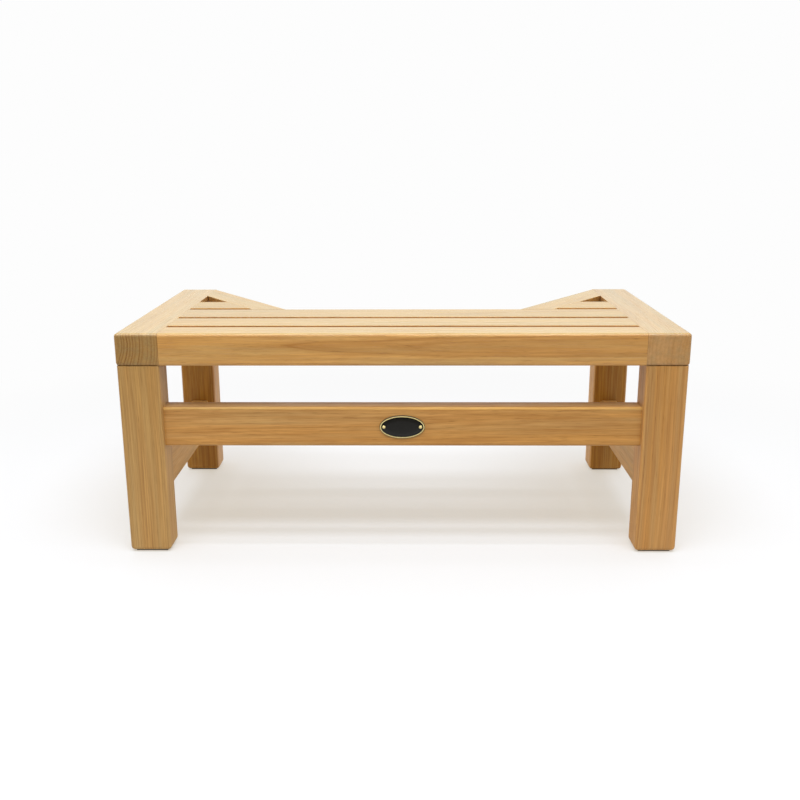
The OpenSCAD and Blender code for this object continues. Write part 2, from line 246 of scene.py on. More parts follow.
def only(piece):
    """Selects one object and makes it the active one."""
    select_none()
    piece.select_set(True)
    bpy.context.view_layer.objects.active = piece


def edit(piece, kind="FACE"):
    """Opens a piece in edit mode, to work on its faces or its edges."""
    only(piece)
    bpy.ops.object.mode_set(mode="EDIT")
    bpy.ops.mesh.select_mode(type=kind)


def done():
    """Leaves edit mode."""
    bpy.ops.object.mode_set(mode="OBJECT")


def pick(piece, test):
    """Selects the faces or edges of the open piece that pass a test, and nothing else."""
    bpy.ops.mesh.select_all(action="DESELECT")
    mesh = bmesh.from_edit_mesh(piece.data)
    for part in mesh.faces if "FACE" in mesh.select_mode else mesh.edges:
        if test(part):
            part.select_set(True)
    mesh.select_flush_mode()
    bmesh.update_edit_mesh(piece.data)


def faces_front(face):
    """A test for faces that look to the front."""
    return face.normal.dot(Vector(FRONT)) > 0.999


def runs_along(direction):
    """A test for edges that run along a direction."""
    return lambda edge: (edge.verts[1].co - edge.verts[0].co).cross(Vector(direction)).length < NEAR


def middle(edge):
    """Middle point of an edge."""
    return (edge.verts[0].co + edge.verts[1].co) / 2


def settled(name):
    """Names the piece that was just added, and applies its place to its mesh."""
    piece = bpy.context.active_object
    piece.name = piece.data.name = name
    bpy.ops.object.transform_apply(location=True, rotation=True, scale=True)
    return piece


def box_board(name, low, high):
    """A box between two corners, as the start of a board."""
    low, high = Vector(low), Vector(high)
    select_none()
    bpy.ops.mesh.primitive_cube_add(size=1, location=(low + high) / 2, scale=high - low)
    return settled(name)


def cut_off(piece, place, normal):
    """Cuts off what lies past a plane, on the side that its normal points to, and closes the cut."""
    edit(piece)
    bpy.ops.mesh.select_all(action="SELECT")
    bpy.ops.mesh.bisect(plane_co=place, plane_no=normal, use_fill=True, clear_outer=True)
    done()


def round_arrises(piece, groups, segments=6):
    """Rounds the arrises of a board. Each group is a radius and a test that picks its edges."""
    widest = max(radius for radius, test in groups)
    edit(piece, "EDGE")
    for radius, test in groups:
        pick(piece, test)
        bpy.ops.transform.edge_bevelweight(value=radius / widest)
    done()
    bpy.ops.object.modifier_add(type="BEVEL")
    bevel = piece.modifiers[-1]
    bevel.limit_method, bevel.offset_type = "WEIGHT", "OFFSET"
    bevel.width, bevel.segments = widest, segments
    bpy.ops.object.modifier_apply(modifier=bevel.name)


def mirrored(piece, name, axis=0, about=0.0):
    """A copy of a piece on the other side of a plane across an axis, with its own mesh."""
    only(piece)
    bpy.ops.object.duplicate(linked=False)
    value, centre = [1, 1, 1], [0, 0, 0]
    value[axis], centre[axis] = -1, about
    bpy.ops.transform.resize(value=value, center_override=centre)
    copy = settled(name)
    edit(copy)
    bpy.ops.mesh.select_all(action="SELECT")
    bpy.ops.mesh.normals_make_consistent(inside=False)
    done()
    return copy


def finish_piece(piece, material, node):
    """Shades a finished piece, gives it its material, hangs it under the root body and hides the CAD node
    that it stands for.
    """
    only(piece)
    bpy.ops.object.shade_smooth_by_angle(angle=math.radians(40))
    bpy.ops.object.modifier_add(type="WEIGHTED_NORMAL")
    weighted = piece.modifiers[-1]
    weighted.keep_sharp, weighted.weight = True, 100
    bpy.ops.object.modifier_apply(modifier=weighted.name)
    piece.data.materials.clear()
    piece.data.materials.append(material)
    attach(piece, "root")
    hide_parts(node)


def finish_board(piece, node):
    """Finishes a board with the teak of its node."""
    sanded_and_top_lit = node in TOP_BOARDS
    cut, slot = (TOP_BOARDS[node], "teak_top") if sanded_and_top_lit else (FRAME_BOARDS[node], "teak_frame")
    finish_piece(piece, teak("oiled_teak_" + node, sanded_and_top_lit=sanded_and_top_lit, **cut), node)


def finish_pair(left, kind):
    """Copies a board of the left side to the right, and finishes both."""
    right = mirrored(left, kind + "_right_teak")
    finish_board(left, kind + "_left")
    finish_board(right, kind + "_right")


def at_corners(piece, kind, finish):
    """Copies a leg or a pad from the front left corner to the others. Gives the pieces by node."""
    about = -bpy.context.scene.stool_frame.rear_leg_inset / 2
    pieces = {kind + "_front_left": piece}
    pieces[kind + "_front_right"] = mirrored(piece, f"{kind}_front_right_{finish}")
    rear = mirrored(piece, f"{kind}_rear_left_{finish}", axis=1, about=about)
    pieces[kind + "_rear_left"] = rear
    pieces[kind + "_rear_right"] = mirrored(rear, f"{kind}_rear_right_{finish}")
    return pieces


# Materials


def add_node(tree, kind, inputs=None, **settings):
    """Adds a node. inputs gives values, nodes or their sockets by socket, settings its own properties.

    A node stands for its first output that is in use.
    """
    node = tree.nodes.new("ShaderNode" + kind)
    for name, value in settings.items():
        if name == "stops":
            ramp = node.color_ramp
            while len(ramp.elements) < len(value):
                ramp.elements.new(0.5)
            for element, (place, shade) in zip(ramp.elements, value):
                element.position = place
                element.color = (*shade, 1) if isinstance(shade, tuple) else (shade, shade, shade, 1)
        else:
            setattr(node, name, value)
    for name, value in (inputs or {}).items():
        if isinstance(value, bpy.types.Node):
            value = next(output for output in value.outputs if output.enabled)
        if isinstance(value, bpy.types.NodeSocket):
            tree.links.new(value, node.inputs[name])
        else:
            node.inputs[name].default_value = value
    return node


def emptied(block):
    """The node tree of a material or a world, without its nodes."""
    block.use_nodes = True
    block.node_tree.nodes.clear()
    return block.node_tree


def new_material(name):
    """An empty node material, and its tree."""
    material = bpy.data.materials.new(name)
    return material, emptied(material)


def shaded(material, inputs):
    """The material with a shader that has these inputs."""
    shader = add_node(material.node_tree, "BsdfPrincipled", inputs)
    add_node(material.node_tree, "OutputMaterial", {"Surface": shader})
    return material


def turned_to(tree, normal, direction, low, high, both_ways=False):
    """How far a surface is turned to a direction: 0 up to the cosine low, 1 from the cosine high."""
    cosine = add_node(tree, "VectorMath", {0: normal, 1: direction}, operation="DOT_PRODUCT")
    if both_ways:
        cosine = add_node(tree, "Math", {0: cosine}, operation="ABSOLUTE")
    return add_node(tree, "MapRange", {0: cosine, 1: low, 2: high})


def teak(name, axis, pith, tilt, pitch, tone, seed, heart=0.0, heart_dark=0.0, rings=1.0, streaks=1.0,
         run=1.0, end_pale=0.0, oiled=False, top=1.0, rays=False, painted_highlight_and_shade=False, sanded_and_top_lit=True):
    """Oiled plantation teak, sawn, planed and finished by sanding.

    Each ring of teak starts with a line of open pores and ends in dense tan wood, so sawn faces show fine
    dark dashes in bands that run straight, or as arches where the saw met the rings at a slant. The rings
    are cylinders round the pith, a line that passes the board at pith with a slight tilt.
    """
    settings = bpy.context.scene.stool_teak
    material, tree = new_material(name)
    direction = Vector(axis).normalized()
    side = direction.cross(Vector(ALONG_Y if axis == ALONG_Z else ALONG_Z)).normalized()
    turn = Matrix((direction, side, direction.cross(side))).transposed()
    for slant, about in zip(tilt, "YZ"):
        turn = turn @ Matrix.Rotation(math.radians(slant), 3, about)
    where = add_node(tree, "TexCoord")
    normal = where.outputs["Normal"]
    log = add_node(tree, "Mapping", {"Vector": where.outputs["Object"], "Location": Vector(pith) * MM,
                                     "Rotation": turn.to_euler()}, vector_type="TEXTURE")
    shift = add_node(tree, "VectorMath", {0: log, 1: seed * Vector((1.37, 0.71, 0.93))}, operation="ADD")

    # The pith wanders by a few millimetres over a hand's length, and each ring waves a little about it
    moved = log
    for scale, reach in (((3.2, 11, 11), 8 * MM), ((16, 70, 70), 1.5 * MM)):
        place = add_node(tree, "VectorMath", {0: shift, 1: scale}, operation="MULTIPLY")
        noise = add_node(tree, "TexNoise", {"Vector": place, "Scale": 1.0, "Detail": 1.5})
        centred = add_node(tree, "VectorMath", {0: noise.outputs["Color"], 1: (-0.5, -0.5, -0.5)},
                           operation="ADD")
        moved = add_node(tree, "VectorMath", {0: centred, 1: (0, reach, reach), 2: moved},
                         operation="MULTIPLY_ADD")
    radius = add_node(tree, "VectorMath", {0: moved, 1: (0, 1, 1)}, operation="MULTIPLY")
    radius = add_node(tree, "VectorMath", {0: radius}, operation="LENGTH")

    # Ring count from the pith, with good and lean years
    years = add_node(tree, "Math", {0: radius, 1: 70.0, 2: seed}, operation="MULTIPLY_ADD")
    years = add_node(tree, "TexNoise", {"W": years, "Scale": 1.0, "Detail": 1.0}, noise_dimensions="1D")
    count = add_node(tree, "Math", {0: radius, 1: 1 / (pitch * MM)}, operation="MULTIPLY")
    count = add_node(tree, "Math", {0: years, 1: 2.2, 2: count}, operation="MULTIPLY_ADD")
    phase = add_node(tree, "Math", {0: count}, operation="FRACT")
    number = add_node(tree, "Math", {0: count}, operation="FLOOR")
    vigour = add_node(tree, "TexWhiteNoise", {"W": number}, noise_dimensions="1D")
    # Dark where a ring starts, pale behind it and slowly browner to its end
    profile = add_node(tree, "ValToRGB", {0: phase},
                       stops=[(0.0, 0.6), (0.08, 1.0), (0.32, 0.3), (0.5, 0.0), (1.0, 0.6)])
    strength = add_node(tree, "Math", {0: vigour, 1: 0.75, 2: 0.25}, operation="MULTIPLY_ADD")
    ring = add_node(tree, "Math", {0: profile, 1: strength}, operation="MULTIPLY")

    # What runs along the grain: its cells in a metre along, across and through the board, an offset, its
    # detail, and the levels of its noise between which it grows to its largest share. Fibres and pores are
    # drawn wider than the real 0.1 and 0.3 mm, so that they show. Bands are browner or paler, greys greyer.
    noises, shares = {}, {}
    for kind, start, scale, offset, detail, low, high, most in (
            ("bundles", moved, (12 / run, 420, 420), (0, 0, 0), 2.0, 0.42, 0.72, 0.24 * streaks),
            ("fibres", moved, (34 / run, 1300, 1300), (0, 0, 0), 2.0, 0.42, 0.72, 0.24 * streaks),
            ("pores", shift, (75, 1500, 1500), (0, 0, 0), 1.0, 0.60, 0.74, 1.0),
            ("bands", shift, (2.2, 32, 32), (0, 0, 0), 2.0, 0.3, 0.7, 1.0),
            ("greys", shift, (4, 150, 150), (7, 3, 5), 2.0, 0.42, 0.72, 0.55)):
        place = add_node(tree, "VectorMath", {0: start, 1: scale, 2: offset}, operation="MULTIPLY_ADD")
        noises[kind] = add_node(tree, "TexNoise", {"Vector": place, "Scale": 1.0, "Detail": detail})
        shares[kind] = add_node(tree, "MapRange", {0: noises[kind], 1: low, 2: high, 4: most})
    crowding = add_node(tree, "Math", {0: ring, 1: 0.4, 2: 0.16}, operation="MULTIPLY_ADD")
    pores = add_node(tree, "Math", {0: shares["pores"], 1: crowding}, operation="MULTIPLY")

    # A cut end shows pores and rings head on, drinks more oil, and looks darker and greyer
    ends = turned_to(tree, normal, direction, 0.6, 0.9, both_ways=True)
    ring_share = add_node(tree, "Math", {0: ends, 1: 0.45 * rings, 2: 0.38 * rings},
                          operation="MULTIPLY_ADD")
    ring_share = add_node(tree, "Math", {0: ring, 1: ring_share}, operation="MULTIPLY")
    layers = [(shares["bands"], settings.pale), (shares["greys"], settings.grey)]
    layers += [(share, settings.brown) for share in (ring_share, shares["bundles"], shares["fibres"])]
    if heart:
        # Darker heartwood inside one ring, with a thin line where it starts
        edge = add_node(tree, "MapRange", {0: radius, 1: (heart - 1) * MM, 2: (heart + 1) * MM})
        edge = add_node(tree, "ValToRGB", {0: edge}, stops=[(0.0, heart_dark), (0.4, heart_dark * 1.1),
                                                            (0.5, heart_dark * 2.5), (0.62, 0.0)])
        layers.append((edge, settings.brown))
    layers.append((pores, settings.pore))
    wood = (*settings.golden, 1)
    for share, shade in layers:
        wood = add_node(tree, "Mix", {0: share, 6: wood, 7: (*shade, 1)}, data_type="RGBA")

    tints = [(ends, (*(c + (1 - c) * end_pale for c in settings.end_grain), 1))]
    if rays:
        # Painted light: the faces turned to the sides are lightened for the light that reaches the inner
        # faces of the rear legs
        sides = turned_to(tree, normal, ALONG_X, 0.3, 0.8, both_ways=True)
        tints.append((sides, (*settings.painted_side_light, 1)))
    if painted_highlight_and_shade:
        # Painted light: the arris along the top gets a paler line as a painted highlight, and the face
        # behind it a darker tone as a painted shade in the shadow of the top
        up = add_node(tree, "SeparateXYZ", {0: normal})
        painted_arris_highlight, painted_face_shade = tuple(settings.painted_arris_highlight), tuple(settings.painted_face_shade)
        tints.append((1.0, add_node(tree, "ValToRGB", {0: up.outputs["Z"]},
                                    stops=[(0.05, 1.0), (0.3, painted_arris_highlight), (0.7, painted_arris_highlight), (0.96, painted_face_shade)])))
    if sanded_and_top_lit:
        # Painted light: the upper faces of the top are made paler and yellower for the light that falls on
        # them from above
        up = turned_to(tree, normal, ALONG_Z, 0.55, 0.85)
        # Painted shade: on boards marked oiled the faces not turned up, down in the gaps, are darkened for
        # the shade there
        edges = (*settings.painted_gap_shade, 1) if oiled else (1, 1, 1, 1)
        pale = (*(top * c for c in settings.painted_top_light), 1)
        tints.append((1.0, add_node(tree, "Mix", {0: up, 6: edges, 7: pale}, data_type="RGBA")))
    for share, tint in tints:
        wood = add_node(tree, "Mix", {0: share, 6: wood, 7: tint}, data_type="RGBA", blend_type="MULTIPLY")
    wood = add_node(tree, "HueSaturation", {"Color": wood, "Hue": 0.5 + tone[0], "Saturation": tone[1],
                                            "Value": tone[2]})

    # Only the top, finished with finer sanding, has the full sheen of oil, the planed frame under it is more
    # matt
    smooth, matt, gloss = (0.18, 0.30, 0.5) if sanded_and_top_lit else (0.34, 0.48, 0.4)
    rough = add_node(tree, "MapRange", {0: noises["fibres"], 1: 0.3, 2: 0.7, 3: smooth, 4: matt})
    relief = add_node(tree, "Math", {0: noises["fibres"], 1: 0.35}, operation="MULTIPLY")
    relief = add_node(tree, "Math", {0: relief, 1: pores}, operation="SUBTRACT")
    bump = add_node(tree, "Bump", {"Height": relief, "Strength": 0.3, "Distance": 0.1 * MM})
    return shaded(material, {"Base Color": wood, "Roughness": rough, "Normal": bump, "IOR": 1.45,
                             "Specular IOR Level": gloss})


def finely_varied(name, base, change, scale, detail):
    """An empty material, a fine noise, and a colour that the noise takes from base to change times base.

    scale is the number of the noise's cells in a metre.
    """
    material, tree = new_material(name)
    where = add_node(tree, "TexCoord")
    place = add_node(tree, "VectorMath", {0: where.outputs["Object"], 1: scale}, operation="MULTIPLY")
    noise = add_node(tree, "TexNoise", {"Vector": place, "Scale": 1.0, "Detail": detail})
    colours = {6: (*base, 1), 7: (*(c * change for c in base), 1)}
    return material, noise, add_node(tree, "Mix", {0: noise, **colours}, data_type="RGBA")


def brass(name, shade_cosine):
    """Stamped brass under a satin lacquer that scatters the light, so that it is pale gold from all sides.

    Painted shade: a dark colour is put where the metal slopes away from the front by more than a given
    slope, as the shade round the rim's outer edge and on the sides of the pin heads. The second argument is
    the cosine of that slope.
    """
    plate = bpy.context.scene.stool_plate
    material, grain, tint = finely_varied(name, plate.brass_colour, 0.88, (400, 400, 4000), 2.0)
    tree = material.node_tree
    normal = add_node(tree, "TexCoord").outputs["Normal"]
    # Painted shade where the metal turns away from the front
    front = turned_to(tree, normal, FRONT, shade_cosine - 0.04, shade_cosine)
    tint = add_node(tree, "Mix", {0: front, 6: (*plate.painted_edge_shade, 1), 7: tint}, data_type="RGBA")
    rough = add_node(tree, "MapRange", {0: grain, 1: 0.3, 2: 0.7, 3: 0.32, 4: 0.44})
    return shaded(material, {"Base Color": tint, "Roughness": rough, "Metallic": 0.3})


def enamel():
    """Black vitreous enamel, fired and left glossy: deep black with the faint waviness of fired glass."""
    base = bpy.context.scene.stool_plate.enamel_colour
    material, ripple, tint = finely_varied("black_vitreous_enamel", base, 0.7, (350, 350, 350), 2.0)
    bump = add_node(material.node_tree, "Bump", {"Height": ripple, "Strength": 0.3, "Distance": 0.05 * MM})
    return shaded(material, {"Base Color": tint, "Normal": bump, "Roughness": 0.16, "IOR": 1.52})


def rubber():
    """Moulded black rubber: matt, with a fine grit where it has touched the floor."""
    base = bpy.context.scene.stool_teak.rubber_colour
    material, grit, tint = finely_varied("black_rubber", base, 1.5, (1400, 1400, 1400), 3.0)
    bump = add_node(material.node_tree, "Bump", {"Height": grit, "Strength": 0.5, "Distance": 0.1 * MM})
    return shaded(material, {"Base Color": tint, "Normal": bump, "Roughness": 0.75})


def beech():
    """Turned beech dowel: pale pinkish tan with short dark flecks along the grain."""
    base = bpy.context.scene.stool_teak.beech_colour
    material, _, tint = finely_varied("turned_beech", base, 0.6, (900, 120, 900), 3.0)
    return shaded(material, {"Base Color": tint, "Roughness": 0.6})


# Where each board was cut from its log. axis is the direction of the grain, pith a point on the log's middle
# line in millimetres, tilt the slant of that line to the board in degrees, pitch the width of a ring in
# millimetres, and tone the board's own shift of hue, saturation and value. heart is the radius of the dark
# heartwood in millimetres, and heart_dark how dark it is. rings, streaks and run are factors for the
# strength of rings and fibres and the length of fibres, and top scales the painted light on the upper face.
# end_pale is the share of the tint that a cut end lacks. oiled gives the faces down in the gaps a painted
# shade, rays gives the faces turned to the sides a painted light, and the flag set on the front stretcher
# gives its arris a painted highlight and its upper face a painted shade. First comes what boards of a kind
# share.
DIAGONAL = dict(tilt=(0.8, 0.3), pitch=4.0, tone=(0.0, 1.0, 0.97), top=0.96)
CORNER = dict(axis=ALONG_X, tilt=(0.7, 0.3), pitch=3.5, tone=(-0.002, 1.07, 0.91), oiled=True)
LEG = dict(axis=ALONG_Z, tilt=(0.3, 0.2))
# Painted shade: the rear legs are darker and more saturated in tone for the shade under the top, and their
# side faces get painted light
REAR_LEG = dict(LEG, tone=(-0.003, 1.1, 0.74), streaks=2.4, run=3.0, rays=True)
SIDE_STRETCHER = dict(axis=ALONG_Y, tilt=(0.5, 0.6), pitch=4.0)
TOP_BOARDS = {
    "side_rail_left": dict(axis=ALONG_Y, pith=(-287, 0, 204), tilt=(0.2, 0.3), pitch=3.0,
                           tone=(0.0, 0.95, 1.0), seed=1, rings=1.3, top=0.96),
    "side_rail_right": dict(axis=ALONG_Y, pith=(330, 0, 190), tilt=(0.5, 0.4), pitch=3.6,
                            tone=(-0.002, 0.93, 0.94), seed=2, rings=0.5, end_pale=0.85, top=0.95),
    "front_rail": dict(axis=ALONG_X, pith=(-116, -147.5, 200), tilt=(0.0, -1.6), pitch=5.0,
                       tone=(0.0, 0.98, 1.18), seed=3, heart=10, heart_dark=0.27, top=0.87, streaks=1.4),
    "front_slat": dict(axis=ALONG_X, pith=(0, -70, 290), tilt=(0.5, 0.3), pitch=3.5,
                       tone=(0.0, 1.0, 0.97), seed=4, oiled=True),
    "middle_rail": dict(axis=ALONG_X, pith=(0, -30, 110), tilt=(0.4, 0.3), pitch=3.5,
                        tone=(0.0, 1.0, 0.92), seed=5, oiled=True),
    "corner_slat_left": dict(CORNER, pith=(0, 60, 280), seed=6),
    "corner_slat_right": dict(CORNER, pith=(0, 10, 300), seed=7),
    "diagonal_rail_left": dict(DIAGONAL, axis=(-103.5, 143, 0), pith=(-180, 40, 120), seed=8),
    "diagonal_rail_right": dict(DIAGONAL, axis=(103.5, 143, 0), pith=(180, 40, 130), seed=9),
}
FRAME_BOARDS = {
    "leg_front_left": dict(LEG, pith=(-350, -110, 90), pitch=2.6, tone=(0.005, 0.97, 0.94), seed=10,
                           streaks=2.1, run=3.0),
    "leg_front_right": dict(LEG, pith=(150, -100, 90), pitch=5.0, tone=(-0.003, 1.0, 1.0), seed=11,
                            streaks=1.8, run=2.5),
    "leg_rear_left": dict(REAR_LEG, pith=(-340, 80, 90), pitch=3.4, seed=12),
    "leg_rear_right": dict(REAR_LEG, pith=(160, 100, 90), pitch=3.8, seed=13),
    "front_stretcher": dict(axis=ALONG_X, pith=(175, -120, 130), tilt=(0.4, -1.2), pitch=4.5,
                            tone=(-0.003, 1.02, 1.04), seed=14, streaks=1.7, painted_highlight_and_shade=True),
    "side_stretcher_left": dict(SIDE_STRETCHER, pith=(-190, 0, 70), tone=(0.004, 1.0, 0.93), seed=15),
    "side_stretcher_right": dict(SIDE_STRETCHER, pith=(200, 0, 80), tone=(0.003, 0.98, 0.98), seed=16),
}


def sizes():
    """Planes that the boards share, worked out from the settings."""
    top, legs = bpy.context.scene.stool_top, bpy.context.scene.stool_frame
    s = SimpleNamespace(frame_z=top.height - top.frame_thickness, slat_z=top.height - top.slat_thickness,
                        front_y=-top.depth / 2, rear_y=top.depth / 2, outer_x=top.width / 2,
                        inner_x=top.width / 2 - top.side_rail_width, recess_x=top.recess_width / 2)
    s.slat_y = s.front_y + top.front_rail_width + top.gap
    s.middle_y = s.slat_y + top.slat_width + top.gap
    s.recess_y = s.middle_y + top.middle_rail_width
    s.corner_y = s.recess_y + top.gap
    s.leg_x = s.outer_x - legs.leg_reveal - legs.leg_width
    s.leg_y = s.rear_y - legs.leg_reveal - legs.leg_depth
    s.stretcher_y = s.front_y + legs.leg_reveal + legs.front_setback
    s.plate_z = legs.front_stretcher_z + legs.stretcher_height / 2
    return s


class STOOL_OT_side_rails(bpy.types.Operator):
    """Models the two side rails, whose cut ends show at the front corners"""

    bl_idname = "stool.side_rails"
    bl_label = "Side rails"

    def execute(self, context):
        top, s = context.scene.stool_top, sizes()
        low = (-s.outer_x, s.front_y, s.frame_z)
        high = (-s.inner_x, s.rear_y, top.height)
        rail = box_board("side_rail_left_teak", low, high)
        inner = -s.inner_x - NEAR
        round_arrises(rail, [
            (top.arris, lambda e: middle(e).x < inner),
            (top.flush_arris, lambda e: middle(e).x > inner),
        ])
        finish_pair(rail, "side_rail")
        return {"FINISHED"}


class STOOL_OT_cross_boards(bpy.types.Operator):
    """Models the boards that run between the side rails: front rail, slat and middle rail"""

    bl_idname = "stool.cross_boards"
    bl_label = "Cross boards"

    def execute(self, context):
        top, s = context.scene.stool_top, sizes()
        boards = (
            ("front_rail", s.front_y, top.front_rail_width, s.frame_z, top.arris),
            ("front_slat", s.slat_y, top.slat_width, s.slat_z, top.gap_arris),
            ("middle_rail", s.middle_y, top.middle_rail_width, s.frame_z, top.gap_arris),
        )
        along = runs_along(ALONG_X)
        for name, y, width, z, front_arris in boards:
            board = box_board(name + "_teak", (-s.inner_x, y, z), (s.inner_x, y + width, top.height))
            front = y + NEAR
            round_arrises(board, [
                (front_arris, lambda e: along(e) and middle(e).y < front),
                (top.gap_arris, lambda e: along(e) and middle(e).y > front),
            ])
            finish_board(board, name)
        return {"FINISHED"}


def left_diagonal():
    """The left diagonal rail's direction, the normal of its inner face, and a point on that face."""
    top, s = bpy.context.scene.stool_top, sizes()
    along = Vector((s.recess_x - s.inner_x, s.rear_y - s.recess_y, 0)).normalized()
    outward = Vector((along.y, -along.x, 0))
    return along, outward, Vector((-s.recess_x, s.recess_y, 0)) - outward * top.diagonal_width


class STOOL_OT_corner_slats(bpy.types.Operator):
    """Models the two short slats that fill the corners behind the middle rail"""

    bl_idname = "stool.corner_slats"
    bl_label = "Corner slats"

    def execute(self, context):
        top, s = context.scene.stool_top, sizes()
        rear = s.corner_y + top.corner_slat_width
        slat = box_board("corner_slat_left_teak", (-s.inner_x, s.corner_y, s.slat_z),
                         (-s.recess_x, rear, top.height))
        outward, point = left_diagonal()[1:]
        cut_off(slat, point, outward)
        round_arrises(slat, [(top.gap_arris, runs_along(ALONG_X))])
        finish_pair(slat, "corner_slat")
        return {"FINISHED"}


class STOOL_OT_diagonal_rails(bpy.types.Operator):
    """Models the two diagonal rails that run from the recess to the rear corners"""

    bl_idname = "stool.diagonal_rails"
    bl_label = "Diagonal rails"

    def execute(self, context):
        top, s = context.scene.stool_top, sizes()
        along, outward, point = left_diagonal()
        centre = Vector((-(s.recess_x + s.inner_x) / 2, (s.recess_y + s.rear_y) / 2,
                         top.height - top.frame_thickness / 2)) - outward * top.diagonal_width / 2
        select_none()
        bpy.ops.mesh.primitive_cube_add(size=1, location=centre,
                                        rotation=(0, 0, math.atan2(along.y, along.x)),
                                        scale=(top.depth, top.diagonal_width, top.frame_thickness))
        rail = settled("diagonal_rail_left_teak")
        cut_off(rail, (0, s.recess_y, 0), (0, -1, 0))
        cut_off(rail, (-s.inner_x, 0, 0), (-1, 0, 0))
        inner = point.dot(outward) + NEAR
        lengthways = runs_along(along)
        round_arrises(rail, [
            (top.arris, lambda e: lengthways(e) and middle(e).dot(outward) > inner),
            (top.flush_arris, lambda e: lengthways(e) and middle(e).dot(outward) < inner),
        ])
        finish_pair(rail, "diagonal_rail")
        return {"FINISHED"}


class STOOL_OT_legs(bpy.types.Operator):
    """Models the four legs, with rounded long arrises and softer ones round the foot"""

    bl_idname = "stool.legs"
    bl_label = "Legs"

    def execute(self, context):
        top, legs, s = context.scene.stool_top, context.scene.stool_frame, sizes()
        low = (-s.leg_x - legs.leg_width, -s.leg_y - legs.leg_depth, legs.pad_thickness)
        leg = box_board("leg_front_left_teak", low, (-s.leg_x, -s.leg_y, s.frame_z))
        foot = legs.pad_thickness + NEAR
        round_arrises(leg, [
            (legs.foot_arris, lambda e: middle(e).z < foot),
            (top.arris, runs_along(ALONG_Z)),
        ])
        for node, piece in at_corners(leg, "leg", "teak").items():
            finish_board(piece, node)
        return {"FINISHED"}


class STOOL_OT_stretchers(bpy.types.Operator):
    """Models the stretcher between the front legs and the two between front and rear legs"""

    bl_idname = "stool.stretchers"
    bl_label = "Stretchers"

    def execute(self, context):
        top, legs, s = context.scene.stool_top, context.scene.stool_frame, sizes()
        y, z = s.stretcher_y, legs.front_stretcher_z
        front = box_board("front_stretcher_teak", (-s.leg_x, y, z),
                          (s.leg_x, y + legs.stretcher_thickness, z + legs.stretcher_height))
        round_arrises(front, [(top.arris, runs_along(ALONG_X))])
        finish_board(front, "front_stretcher")
        outer, z = -s.outer_x + legs.leg_reveal + legs.side_setback, legs.side_stretcher_z
        rear = s.leg_y - legs.rear_leg_inset
        side = box_board("side_stretcher_left_teak", (outer, -s.leg_y, z),
                         (outer + legs.stretcher_thickness, rear, z + legs.stretcher_height))
        round_arrises(side, [(top.arris, runs_along(ALONG_Y))])
        finish_pair(side, "side_stretcher")
        return {"FINISHED"}


class STOOL_OT_foot_pads(bpy.types.Operator):
    """Models the thin rubber pad under each leg"""

    bl_idname = "stool.foot_pads"
    bl_label = "Foot pads"

    def execute(self, context):
        top, legs, s = context.scene.stool_top, context.scene.stool_frame, sizes()
        inset = legs.pad_inset
        low = (-s.leg_x - legs.leg_width + inset, -s.leg_y - legs.leg_depth + inset, 0)
        high = (-s.leg_x - inset, -s.leg_y - inset, legs.pad_thickness)
        pad = box_board("foot_pad_front_left_rubber", low, high)
        round_arrises(pad, [
            (top.arris, runs_along(ALONG_Z)),
            (legs.pad_arris, lambda e: middle(e).z < NEAR),
        ])
        material = rubber()
        for node, piece in at_corners(pad, "foot_pad", "rubber").items():
            finish_piece(piece, material, node)
        return {"FINISHED"}


def oval_disc(name, width, height, near, far):
    """An oval disc that faces the front, between two distances from the stretcher's face."""
    s = sizes()
    select_none()
    bpy.ops.mesh.primitive_cylinder_add(vertices=96, radius=0.5, depth=1,
                                        location=(0, s.stretcher_y - (near + far) / 2, s.plate_z),
                                        rotation=(math.pi / 2, 0, 0), scale=(width, height, far - near))
    return settled(name)


